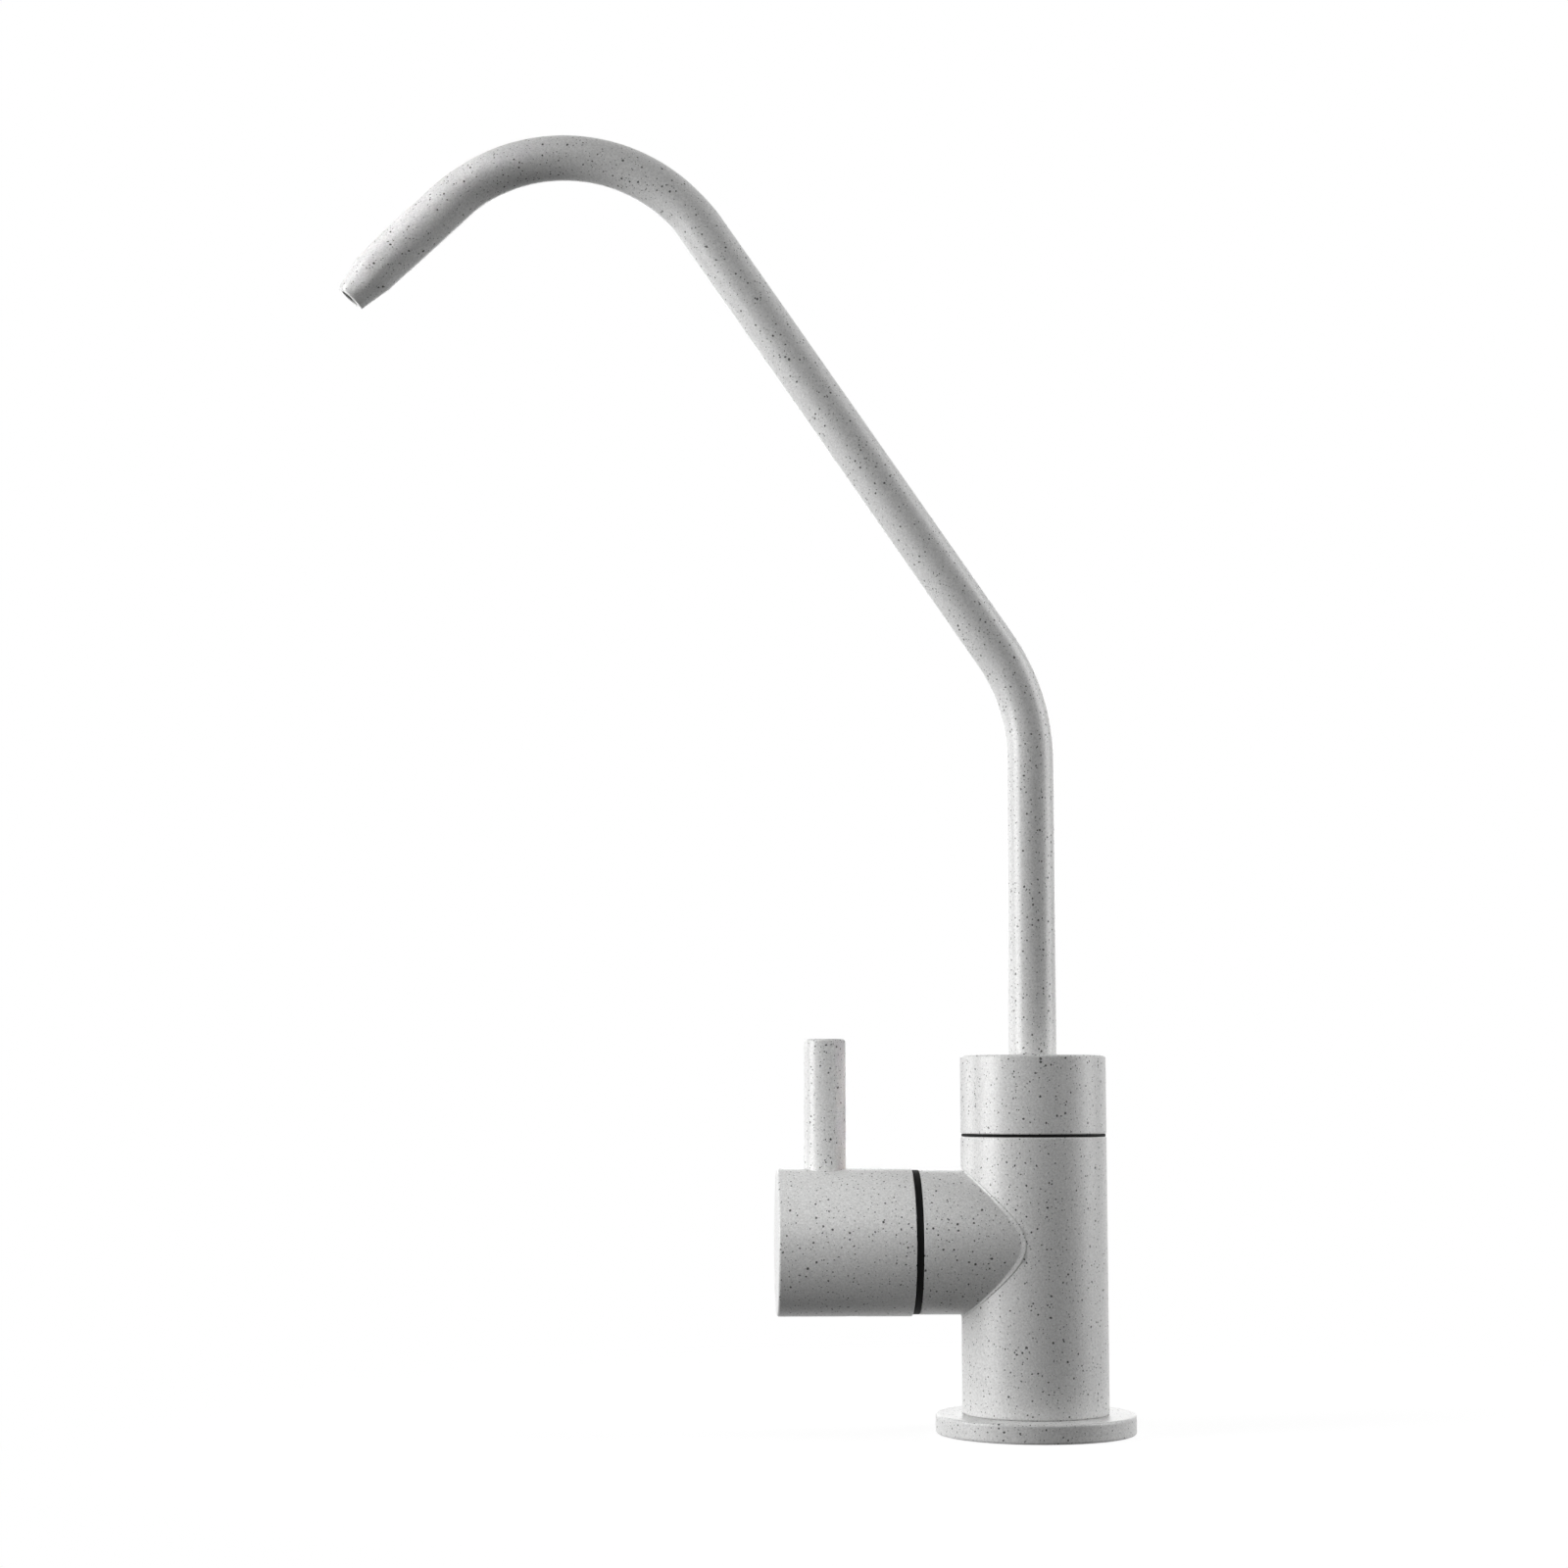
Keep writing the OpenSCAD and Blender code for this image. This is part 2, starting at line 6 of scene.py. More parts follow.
import bmesh
import bpy
import numpy as np
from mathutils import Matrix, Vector


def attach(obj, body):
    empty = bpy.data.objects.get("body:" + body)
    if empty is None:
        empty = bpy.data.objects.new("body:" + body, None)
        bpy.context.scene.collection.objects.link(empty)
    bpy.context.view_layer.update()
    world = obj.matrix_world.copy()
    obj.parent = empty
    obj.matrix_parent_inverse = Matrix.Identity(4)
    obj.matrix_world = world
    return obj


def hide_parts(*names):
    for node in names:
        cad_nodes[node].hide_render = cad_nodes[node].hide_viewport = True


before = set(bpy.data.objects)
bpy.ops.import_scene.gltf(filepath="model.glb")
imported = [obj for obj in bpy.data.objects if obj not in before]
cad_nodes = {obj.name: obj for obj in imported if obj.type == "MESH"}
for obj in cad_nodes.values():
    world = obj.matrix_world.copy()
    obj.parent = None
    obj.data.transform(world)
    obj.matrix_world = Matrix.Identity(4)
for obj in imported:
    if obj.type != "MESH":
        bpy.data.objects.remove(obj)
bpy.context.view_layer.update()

# Base flange
# Flat round plate between the body and the deck, turned from brass and coated in speckled pale grey.
# A groove below holds its gasket, and the shank of the tap passes through its middle.
MM = 0.001
SHARP = np.radians(40)


def rounded_section(corners, closed, edge_steps=6, hold=0.15, hold_share=0.3):
    """Half section of a turned piece from (radius, height, edge) corners.

    Each corner gives way to an arc of its own edge radius, from tangent point to tangent point, with a
    holding point close before and after it that keeps the flats flat, no further off than a share of
    the flat. The solid lies on the left of the way round. An open section starts and ends on the axis,
    at corners that stay as they are.
    """
    table = np.array(corners, float)
    point, edge = table[:, :2], table[:, 2]
    ahead = np.roll(point, -1, 0) - point
    length = np.linalg.norm(ahead, axis=1)
    out = ahead / length[:, None]
    into = np.roll(out, 1, 0)
    turn = np.arctan2(into[:, 0] * out[:, 1] - into[:, 1] * out[:, 0], (into * out).sum(1))
    reach = edge * np.tan(np.abs(turn) / 2)
    spare = np.minimum(hold, hold_share * (length - reach - np.roll(reach, -1)))
    side = (np.sign(turn) * edge)[:, None]
    right = np.stack([into[:, 1], -into[:, 0]], 1)
    centre = point - into * reach[:, None] - side * right
    swing = turn[:, None] * np.linspace(0, 1, edge_steps + 1)
    swung_r = right[:, :1] * np.cos(swing) - right[:, 1:] * np.sin(swing)
    swung_h = right[:, :1] * np.sin(swing) + right[:, 1:] * np.cos(swing)
    arc = centre[:, None] + side[:, None] * np.stack([swung_r, swung_h], 2)
    before = point - into * (reach + np.roll(spare, 1))[:, None]
    after = point + out * (reach + spare)[:, None]
    run = np.concatenate([before[:, None], arc, after[:, None]], 1)
    if closed:
        return run.reshape(-1, 2)
    return np.concatenate([point[:1], run[1:-1].reshape(-1, 2), point[-1:]])


def grid_faces(rows, columns, wrap_rows, first=0):
    """Quads of a grid whose columns go all the way round, each from four neighbouring points in order."""
    row = np.arange(rows if wrap_rows else rows - 1)[:, None]
    column = np.arange(columns)[None, :]
    next_row, next_column = (row + 1) % rows, (column + 1) % columns
    corners = [row * columns + column, row * columns + next_column]
    corners += [next_row * columns + next_column, next_row * columns + column]
    return np.stack(np.broadcast_arrays(*corners), 2).reshape(-1, 4) + first


def mesh_piece(name, points, faces, finish):
    """Object at the origin from points and faces, smooth except at edges over 40 degrees."""
    mesh = bpy.data.meshes.new(name)
    mesh.from_pydata((np.asarray(points) * MM).tolist(), [], faces)
    mesh.materials.append(finish)
    mesh.shade_smooth()
    mesh.set_sharp_from_angle(angle=SHARP)
    piece = bpy.data.objects.new(name, mesh)
    bpy.context.scene.collection.objects.link(piece)
    return piece


def spun(name, radius, height, finish, closed=True, place=None):
    """Piece about the local Z axis: x = r cos a, y = r sin a and z = h, on a grid of rows by angle.

    The last row of a closed section joins up with the first. Otherwise the first and the last row lie on
    the axis and become poles, each closed by a fan. The place is a turn and a shift, three by four.
    """
    radius, height = np.broadcast_arrays(radius, height)
    rows, steps = radius.shape
    angle = np.arange(steps) * 2 * np.pi / steps
    grid = np.stack([radius * np.cos(angle), radius * np.sin(angle), height], 2)
    if closed:
        points = grid.reshape(-1, 3)
        faces = grid_faces(rows, steps, True).tolist()
    else:
        points = np.concatenate([grid[1:-1].reshape(-1, 3), grid[[0, -1], 0]])
        faces = grid_faces(rows - 2, steps, False).tolist()
        here, last_row = np.arange(steps), (rows - 3) * steps
        beyond = (here + 1) % steps
        pole = np.full(steps, len(points) - 2)
        faces += np.stack([pole, beyond, here], 1).tolist()
        faces += np.stack([last_row + here, last_row + beyond, pole + 1], 1).tolist()
    if place is not None:
        points = points @ place[:, :3].T + place[:, 3]
    return mesh_piece(name, points, faces, finish)


def turned(name, corners, finish, closed=True, place=None, steps=192):
    """Rounded section spun about the local Z axis, the same all the way round."""
    section = rounded_section(corners, closed)
    radius = np.repeat(section[:, :1], steps, 1)
    return spun(name, radius, section[:, 1:], finish, closed, place)


def new_finish(name):
    """Material, the inputs of its shader, a short way to add a node with set values, and one to join."""
    material = bpy.data.materials.new(name)
    material.use_nodes = True
    tree = material.node_tree

    def add(kind, **values):
        node = tree.nodes.new("ShaderNode" + kind)
        for key, value in values.items():
            if hasattr(node, key):
                setattr(node, key, value)
            else:
                node.inputs[key.replace("_", " ")].default_value = value
        return node

    return material, tree.nodes["Principled BSDF"].inputs, add, tree.links.new


def speckled_powder_coat():
    """Pale grey coat with dark flecks of three sizes, a fine grain and a slight peel.

    A fleck is where the distance to the nearest cell point is under a size that each cell draws for
    itself. A small noise bends the coordinates first, so that no fleck is quite round.
    """
    material, shader, add, join = new_finish("speckled_powder_coat")
    place = add("TexCoord").outputs["Object"]
    wobble = add("TexNoise", Scale=1500.0, Detail=2.0)
    join(place, wobble.inputs["Vector"])
    bend_m = 0.0004
    bent = add("VectorMath", operation="MULTIPLY_ADD")
    bent.inputs[1].default_value = (bend_m, bend_m, bend_m)
    join(wobble.outputs["Color"], bent.inputs[0])
    join(place, bent.inputs[2])
    grain = add("TexNoise", Scale=2200.0, Detail=4.0, Roughness=0.75)
    join(place, grain.inputs["Vector"])
    shade = add("ValToRGB")
    low, high = shade.color_ramp.elements
    low.position, low.color = 0.3, (0.54, 0.54, 0.535, 1)
    high.position, high.color = 0.7, (0.88, 0.88, 0.875, 1)
    join(grain.outputs["Fac"], shade.inputs["Fac"])
    tone = shade.outputs["Color"]
    # Cells per metre, least and most size of a fleck in cells, how dense it is, and its grey
    layers = [
        (560.0, 0.03, 0.19, 0.97, 0.03),
        (900.0, 0.06, 0.24, 0.97, 0.04),
        (1350.0, 0.07, 0.25, 0.85, 0.08),
    ]
    for cells_per_m, least, most, density, grey in layers:
        cells = add("TexVoronoi", Scale=cells_per_m)
        join(bent.outputs["Vector"], cells.inputs["Vector"])
        draw = add("SeparateColor")
        join(cells.outputs["Color"], draw.inputs["Color"])
        size = add("MapRange", From_Min=0.2, To_Min=least, To_Max=most)
        join(draw.outputs["Red"], size.inputs["Value"])
        depth = add("Math", operation="SUBTRACT")
        join(size.outputs["Result"], depth.inputs[0])
        join(cells.outputs["Distance"], depth.inputs[1])
        cover = add("MapRange", From_Max=0.04, To_Max=density)
        join(depth.outputs["Value"], cover.inputs["Value"])
        # The two colours of a colour mix are its inputs 6 and 7, and what it gives is its output 2
        mix = add("Mix", data_type="RGBA")
        join(cover.outputs["Result"], mix.inputs[0])
        join(tone, mix.inputs[6])
        mix.inputs[7].default_value = (grey, grey, grey, 1)
        tone = mix.outputs[2]
    join(tone, shader["Base Color"])
    gloss = add("MapRange", To_Min=0.29, To_Max=0.39)
    join(grain.outputs["Fac"], gloss.inputs["Value"])
    join(gloss.outputs["Result"], shader["Roughness"])
    peel = add("TexNoise", Scale=1100.0, Detail=2.0)
    join(place, peel.inputs["Vector"])
    bump = add("Bump", Strength=0.15, Distance=0.0001)
    join(peel.outputs["Fac"], bump.inputs["Height"])
    join(bump.outputs["Normal"], shader["Normal"])
    shader["IOR"].default_value = 1.5
    return material


speckled_coat = speckled_powder_coat()
flange_r, flange_h, flange_hole_r = 21.8, 4.2, 5.8
groove_in, groove_out, groove_h = 13.0, 18.0, 1.2
fine_edge, flange_low_edge, flange_top_edge = 0.1, 0.5, 0.6
base_flange = turned(
    "base_flange_piece",
    [
        (flange_hole_r, 0, fine_edge),
        (groove_in, 0, fine_edge),
        (groove_in, groove_h, fine_edge),
        (groove_out, groove_h, fine_edge),
        (groove_out, 0, fine_edge),
        (flange_r, 0, flange_low_edge),
        (flange_r, flange_h, flange_top_edge),
        (flange_hole_r, flange_h, fine_edge),
    ],
    speckled_coat,
)
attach(base_flange, "base")
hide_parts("base_flange")

# Base gasket
# Flat ring of black rubber in the groove below the flange, cut from sheet.
# It seals the flange to the deck and stands level with the flange's underside.


def plain_finish(name, colour, spread, roughness, metallic, grain, bump, gloss_spread=0.08):
    """Even finish whose colour and gloss vary a little with a noise, over a fine bump of the same noise."""
    material, shader, add, join = new_finish(name)
    place = add("TexCoord").outputs["Object"]
    noise = add("TexNoise", Scale=grain, Detail=4.0, Roughness=0.6)
    join(place, noise.inputs["Vector"])
    shade = add("ValToRGB")
    for element, factor in zip(shade.color_ramp.elements, (1 - spread, 1 + spread)):
        element.color = [min(1, channel * factor) for channel in colour] + [1]
    join(noise.outputs["Fac"], shade.inputs["Fac"])
    join(shade.outputs["Color"], shader["Base Color"])
    gloss = add("MapRange", To_Min=roughness - gloss_spread, To_Max=roughness + gloss_spread)
    join(noise.outputs["Fac"], gloss.inputs["Value"])
    join(gloss.outputs["Result"], shader["Roughness"])
    relief = add("Bump", Strength=bump, Distance=0.00005)
    join(noise.outputs["Fac"], relief.inputs["Height"])
    join(relief.outputs["Normal"], shader["Normal"])
    shader["Metallic"].default_value = metallic
    return material


black_rubber = plain_finish(
    "black_rubber", (0.022, 0.022, 0.022), spread=0.3, roughness=0.7, metallic=0, grain=2600.0, bump=0.3
)
gasket_in, gasket_out, gasket_edge = 13.05, 17.95, 0.15
base_gasket = turned(
    "base_gasket_piece",
    [
        (gasket_in, 0, gasket_edge),
        (gasket_out, 0, gasket_edge),
        (gasket_out, groove_h, gasket_edge),
        (gasket_in, groove_h, gasket_edge),
    ],
    black_rubber,
)
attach(base_gasket, "base")
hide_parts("base_gasket")

# Tap body
# Upright brass cylinder, coated, with a side branch of nearly its size that meets it in a fine raised lip.
# It is hollow: water comes up the middle, passes the valve in the branch and leaves by the socket on top.
body_r, body_low, body_high = 16.0, flange_h, 64.0
branch_r, branch_dip, branch_end, valve_z = 15.65, 0.2, 25.5, 41.1
crease_w, nose_w, lip_h = 0.7, 1.8, 0.14
low_edge, high_edge, branch_edge, mouth_edge = 0.5, 0.3, 0.3, 0.2
chamber_r, seat_x = 10.05, 6.0
socket_r, socket_floor = 9.05, 53.0
shank_hole_r, shank_top, inlet_r = 5.6, 16.0, 4.0
CREASE_STEPS = 640
MERGE_GAP = 0.002


def about_body(r, z, angle):
    """Points about the body's axis, at an angle counted from the branch's side."""
    return np.stack(np.broadcast_arrays(-r * np.cos(angle), r * np.sin(angle), z), 2)


def about_valve(r, outwards, angle):
    """Points about the valve axis, at a distance from the body's axis and an angle counted from the top."""
    y, z = r * np.sin(angle), r * np.cos(angle) + valve_z
    return np.stack(np.broadcast_arrays(-outwards, y, z), 2)


def crease_skin(a, nose_power=8, fillet_rows=17, wall_rows=40, branch_rows=12):
    """Outer skin round the crease of the body and the branch, as grids of points.

    A ball rolls along the crease. Its radius is the fillet's width over the angle between the two walls,
    whose cosine is r sin a sin a / R. The width grows to the front and back with a high even power of
    sin a, and the branch dips a little there by it too. The centre is where two cylinders larger by the
    ball's radius meet, at y = B sin a, z = B cos a and x = -sqrt(A A - y y). The ball touches the body
    at the share R / A of its way from the body's axis, and the branch at the share r / B from the valve
    axis. The fillet swings from one touch to the other by t squared and stands up in a lip, a squared
    sine of t. The body's wall, unrolled as angle and height, is drawn straight from the line of touch
    out to the four sides of the unrolled sheet.
    """
    nose = np.sin(a) ** nose_power
    near_r = branch_r - branch_dip * nose
    width = crease_w + (nose_w - crease_w) * nose
    ball_r = width / np.arccos(near_r * np.sin(a) ** 2 / body_r)
    wide, slim = body_r + ball_r, near_r + ball_r
    y, z = slim * np.sin(a), slim * np.cos(a)
    x = -np.sqrt(wide**2 - y**2)
    centre = np.stack([x, y, z], 1)
    to_body = np.stack([x * body_r / wide, y * body_r / wide, z], 1) - centre
    to_branch = np.stack([x, y * near_r / slim, z * near_r / slim], 1) - centre
    cosine = (to_body * to_branch).sum(1) / ball_r**2
    swing = np.arccos(np.clip(cosine, -1, 1))[None, :, None]
    t = np.linspace(0, 1, fillet_rows)[:, None, None]
    share = t**2
    swung = np.sin((1 - share) * swing) * to_body + np.sin(share * swing) * to_branch
    lip = 1 - lip_h * np.sin(np.pi * t) ** 2 / ball_r[None, :, None]
    fillet = centre + lip * swung / np.sin(swing) + np.array([0, 0, valve_z])
    quarter = len(a) // 4
    low, high = body_low + low_edge, body_high - high_edge
    half_turn = np.linspace(-np.pi, np.pi, quarter, endpoint=False)
    fall = np.linspace(high, low, quarter, endpoint=False)
    rim = np.full(quarter, np.pi)
    side_angle = np.concatenate([half_turn, rim, -half_turn, -rim])
    side_z = np.concatenate([0 * rim + high, fall, 0 * rim + low, high + low - fall])
    side_angle, side_z = np.roll([side_angle, side_z], -(quarter // 2), 1)
    way = np.linspace(0, 1, wall_rows)[:, None]
    sheet_angle = np.arcsin(y / wide) * (1 - way) + side_angle * way
    sheet_z = (z + valve_z) * (1 - way) + side_z * way
    wall = about_body(body_r, sheet_z, sheet_angle)
    way = np.linspace(0, 1, branch_rows)[:, None]
    branch_wall = near_r * (1 - way) + branch_r * way
    branch = about_valve(branch_wall, -x * (1 - way) + (branch_end - branch_edge) * way, a)
    return [fillet, wall, branch]


def closed_end(corners, angle, about):
    """Rows from the start of a wall's edge over the edge, a flat and a bore to a pole on the axis."""
    section = rounded_section(corners, False)[2:]
    return about(section[:, :1], section[:, 1:], angle)


def sealed(piece):
    """Piece with its doubles merged, slivers gone, large faces split up and normals turned outwards."""
    work = bmesh.new()
    work.from_mesh(piece.data)
    bmesh.ops.remove_doubles(work, verts=work.verts, dist=MERGE_GAP * MM)
    bmesh.ops.dissolve_degenerate(work, edges=work.edges, dist=MERGE_GAP * MM)
    bmesh.ops.triangulate(work, faces=[face for face in work.faces if len(face.verts) > 4])
    bmesh.ops.recalc_face_normals(work, faces=work.faces)
    work.to_mesh(piece.data)
    work.free()
    piece.data.shade_smooth()
    piece.data.set_sharp_from_angle(angle=SHARP)
    return piece


def skin_piece(name, grids, finish):
    """One closed piece from grids that meet at their rims."""
    first = np.cumsum([0] + [grid.shape[0] * grid.shape[1] for grid in grids])
    points = np.concatenate([grid.reshape(-1, 3) for grid in grids])
    faces = [grid_faces(*grid.shape[:2], False, start) for grid, start in zip(grids, first)]
    return sealed(mesh_piece(name, points, np.concatenate(faces).tolist(), finish))


def drilled(piece, *bores, bar_edge=0.02, bar_steps=64):
    """Piece with round holes: each (radius, start, direction, length) bar is taken out of it."""
    for r, start, direction, length in bores:
        axis = np.array(direction, float)
        side = np.cross(axis, np.roll(axis, 1))
        place = np.stack([side, np.cross(axis, side), axis, np.array(start, float)], 1)
        corners = [(0, 0, 0), (r, 0, bar_edge), (r, length, bar_edge), (0, length, 0)]
        bar = turned("bore", corners, piece.data.materials[0], False, place, bar_steps)
        cut = piece.modifiers.new("bore", "BOOLEAN")
        cut.operation, cut.solver, cut.object = "DIFFERENCE", "MANIFOLD", bar
        shaped = piece.evaluated_get(bpy.context.evaluated_depsgraph_get())
        plain, piece.data = piece.data, bpy.data.meshes.new_from_object(shaped)
        piece.modifiers.clear()
        bpy.data.meshes.remove(plain)
        bpy.data.objects.remove(bar)
    piece.data.name = piece.name
    return sealed(piece)


body_top = [
    (body_r, body_high - 2 * high_edge, 0),
    (body_r, body_high, high_edge),
    (socket_r, body_high, mouth_edge),
    (socket_r, socket_floor, mouth_edge),
    (0, socket_floor, 0),
]
body_foot = [
    (body_r, body_low + 2 * low_edge, 0),
    (body_r, body_low, low_edge),
    (shank_hole_r, body_low, mouth_edge),
    (shank_hole_r, shank_top, fine_edge),
    (inlet_r, shank_top, fine_edge),
    (inlet_r, valve_z + inlet_r, fine_edge),
    (0, valve_z + inlet_r, 0),
]
branch_mouth = [
    (branch_r, branch_end - 2 * branch_edge, 0),
    (branch_r, branch_end, branch_edge),
    (chamber_r, branch_end, mouth_edge),
    (chamber_r, seat_x, fine_edge),
    (0, seat_x, 0),
]
round_valve = np.arange(CREASE_STEPS) * 2 * np.pi / CREASE_STEPS
round_body = np.linspace(-np.pi, np.pi, CREASE_STEPS // 4, endpoint=False)
body_skin = crease_skin(round_valve)
body_skin.append(closed_end(body_top, round_body, about_body))
body_skin.append(closed_end(body_foot, round_body, about_body))
body_skin.append(closed_end(branch_mouth, round_valve, about_valve))
tap_body = skin_piece("tap_body_piece", body_skin, speckled_coat)
back_hole_r, retain_z = 2.03, 55.3
port_r, port_x, seat_way_r, overrun = 2.2, 8.3, 3.9, 1.0
drilled(
    tap_body,
    (seat_way_r, (0, 0, valve_z), (-1, 0, 0), seat_x + overrun),
    (port_r, (-port_x, 0, valve_z), (0, 0, 1), socket_floor + overrun - valve_z),
    (back_hole_r, (0, socket_r - overrun, retain_z), (0, 1, 0), body_r),
)
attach(tap_body, "base")
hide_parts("tap_body")

# Threaded shank
# Hollow brass stud that carries the water in and clamps the tap, with a fine thread rolled on its outside.
# It screws into the foot of the body. A relief parts the nut's thread from that of the supply connector.
brass = plain_finish(
    "turned_brass", (0.71, 0.50, 0.22), spread=0.1, roughness=0.3, metallic=1, grain=900.0, bump=0.1
)
shank_r, shank_bore_r, shank_low = 5.55, 3.2, -48.0
relief_low, relief_high, relief_depth = -33.0, -31.5, 0.6


def thread(height, outer_r, pitch, depth, steps, gain=1.4):
    """Radius of a right-hand thread: a wave of the height less the share of a turn, cut flat by its gain."""
    angle = np.arange(steps) / steps
    wave = np.cos(2 * np.pi * (height / pitch - angle))
    return outer_r - depth * (1 - np.clip(gain * wave, -1, 1)) / 2


shank_pitch, shank_depth, shank_rows, shank_steps = 1.06, 0.6, 605, 60
lead_depth, lead_slope, shank_chamfer = 0.8, 1.2, 0.3
shank_h = np.linspace(shank_low, shank_top, shank_rows)[:, None]
shank_end = np.minimum(shank_h - shank_low, shank_top - shank_h)
shank_limit = np.minimum(shank_r, shank_r - lead_depth + lead_slope * shank_end)
in_relief = (shank_h > relief_low) & (shank_h < relief_high)
shank_limit = np.where(in_relief, shank_r - relief_depth, shank_limit)
shank_wall = thread(shank_h, shank_r, shank_pitch, shank_depth, shank_steps)
shank_wall = np.minimum(shank_wall, shank_limit)
shank_flare = np.array([[shank_chamfer], [0], [0], [shank_chamfer]])
shank_bore = np.full((4, shank_steps), shank_bore_r) + shank_flare
shank_bore_h = np.array([[shank_top], [shank_top], [shank_low], [shank_low]])
shank_bore_h += np.array([[0], [-shank_chamfer], [shank_chamfer], [0]])
threaded_shank = spun(
    "threaded_shank_piece",
    np.concatenate([shank_wall, shank_bore]),
    np.concatenate([shank_h, shank_bore_h]),
    brass,
)
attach(threaded_shank, "base")
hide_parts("threaded_shank")

# Deck washers
# A rubber washer grips the underside of the deck and a steel one of the same size spreads the load.
# Both are stamped from sheet and slide loosely over the shank.
zinc_steel = plain_finish(
    "zinc_plated_steel", (0.58, 0.58, 0.60), spread=0.12, roughness=0.34, metallic=1, grain=700.0, bump=0.1
)
washer_in, washer_out, washer_top = 5.8, 17.0, -20.0
rubber_low, rubber_edge, steel_low, steel_edge = -22.0, 0.3, -23.5, 0.2


def flat_washer(name, low, high, edge, finish):
    """Flat ring round the shank between two heights."""
    corners = [(washer_in, low, edge), (washer_out, low, edge)]
    corners += [(washer_out, high, edge), (washer_in, high, edge)]
    washer = turned(name + "_piece", corners, finish)
    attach(washer, "base")
    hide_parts(name)


flat_washer("deck_rubber_washer", rubber_low, washer_top, rubber_edge, black_rubber)
flat_washer("deck_steel_washer", steel_low, rubber_low, steel_edge, zinc_steel)

# Lock washer
# Thin ring of spring steel with twelve outside teeth, stamped and hardened.
# It lies between the steel washer and the nut and keeps the nut from working loose.
lock_low, lock_high, lock_tip_r, lock_root_r, lock_teeth = -24.5, steel_low, 9.95, 8.75, 12
lock_edge, lock_steps = 0.15, 240
lock_wave = np.abs(2 * ((np.arange(lock_steps) * lock_teeth / lock_steps) % 1) - 1)
lock_rim = lock_root_r + (lock_tip_r - lock_root_r) * lock_wave
lock_hole = np.full(lock_steps, washer_in)
lock_r = [lock_hole, lock_rim - lock_edge, lock_rim, lock_rim, lock_rim - lock_edge, lock_hole]
lock_h = [lock_low, lock_low, lock_low + lock_edge, lock_high - lock_edge, lock_high, lock_high]
lock_washer = spun("lock_washer_piece", np.array(lock_r), np.array(lock_h)[:, None], zinc_steel)
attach(lock_washer, "base")
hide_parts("lock_washer")

# Mounting nut
# Hexagonal brass nut that pulls the tap down on to the deck, cut from bar.
# Its corners are chamfered at both ends by a cone, which leaves a curved edge on each flat.
nut_h, nut_across, nut_hole_r = 6.0, 17.0, 5.6
nut_low = lock_low - nut_h


def hexagon(across, steps):
    """Radius of a hexagon with a corner at angle zero: half the width across flats over a cosine."""
    angle = np.arange(steps) * 2 * np.pi / steps
    return across / 2 / np.cos(angle % (np.pi / 3) - np.pi / 6)


nut_steps, nut_rows, nut_chamfer, nut_face_step, nut_flare = 240, 15, 1.4, 0.05, 0.4
nut_rise = np.linspace(0, nut_chamfer, nut_rows)[:, None]
nut_rise = np.concatenate([nut_rise, nut_h - nut_rise[::-1]])
nut_cone = nut_across / 2 - nut_face_step + np.minimum(nut_rise, nut_h - nut_rise)
nut_wall = np.minimum(hexagon(nut_across, nut_steps), nut_cone)
nut_hole = np.full((4, nut_steps), nut_hole_r) + np.array([[nut_flare], [0], [0], [nut_flare]])
nut_hole_h = np.array([[nut_h], [nut_h - nut_flare], [nut_flare], [0]])
mounting_nut = spun(
    "mounting_nut_piece",
    np.concatenate([nut_wall, nut_hole]),
    np.concatenate([nut_rise, nut_hole_h]) + nut_low,
    brass,
)
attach(mounting_nut, "base")
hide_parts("mounting_nut")

# Valve cartridge
# Quarter-turn valve in the branch: brass housing, two lapped ceramic discs and a splined brass spindle.
# Rubber rings seal it, a silicone seal loads the discs and a spring clip holds the spindle.
white_ceramic = plain_finish(
    "white_ceramic", (0.84, 0.83, 0.80), spread=0.04, roughness=0.22, metallic=0, grain=1800.0, bump=0.05
)
red_silicone = plain_finish(
    "red_silicone", (0.42, 0.12, 0.08), spread=0.12, roughness=0.5, metallic=0, grain=1500.0, bump=0.15
)
cartridge_finish = {
    "cartridge_housing": brass,
    "cartridge_o_ring": black_rubber,
    "seat_seal": red_silicone,
    "fixed_disc": white_ceramic,
    "moving_disc": white_ceramic,
    "valve_spindle": brass,
    "spindle_o_rings": black_rubber,
    "spindle_circlip": zinc_steel,
}
for node, finish in cartridge_finish.items():
    cad_nodes[node].data.materials.clear()
    cad_nodes[node].data.materials.append(finish)

# Valve spacer ring
# Black moulded ring on the end of the branch, the dark band between the branch and the hub of the handle.
# It centres on the hexagon of the cartridge, and the hub turns just clear of it.
black_polymer = plain_finish(
    "black_polymer", (0.004, 0.004, 0.004), spread=0.3, roughness=0.6, metallic=0, grain=2400.0, bump=0.15
)
black_polymer.node_tree.nodes["Principled BSDF"].inputs["Specular IOR Level"].default_value = 0.06
on_valve = np.array([[0, 0, -1, 0], [0, 1, 0, 0], [1, 0, 0, valve_z]], float)
band_in, band_out, band_end, band_end_edge = 13.2, 15.6, 26.9, 0.15
valve_spacer_ring = turned(
    "valve_spacer_ring_piece",
    [
        (band_in, branch_end, fine_edge),
        (band_out, branch_end, fine_edge),
        (band_out, band_end, band_end_edge),
        (band_in, band_end, fine_edge),
    ],
    black_polymer,
    place=on_valve,
)
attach(valve_spacer_ring, "base")
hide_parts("valve_spacer_ring")

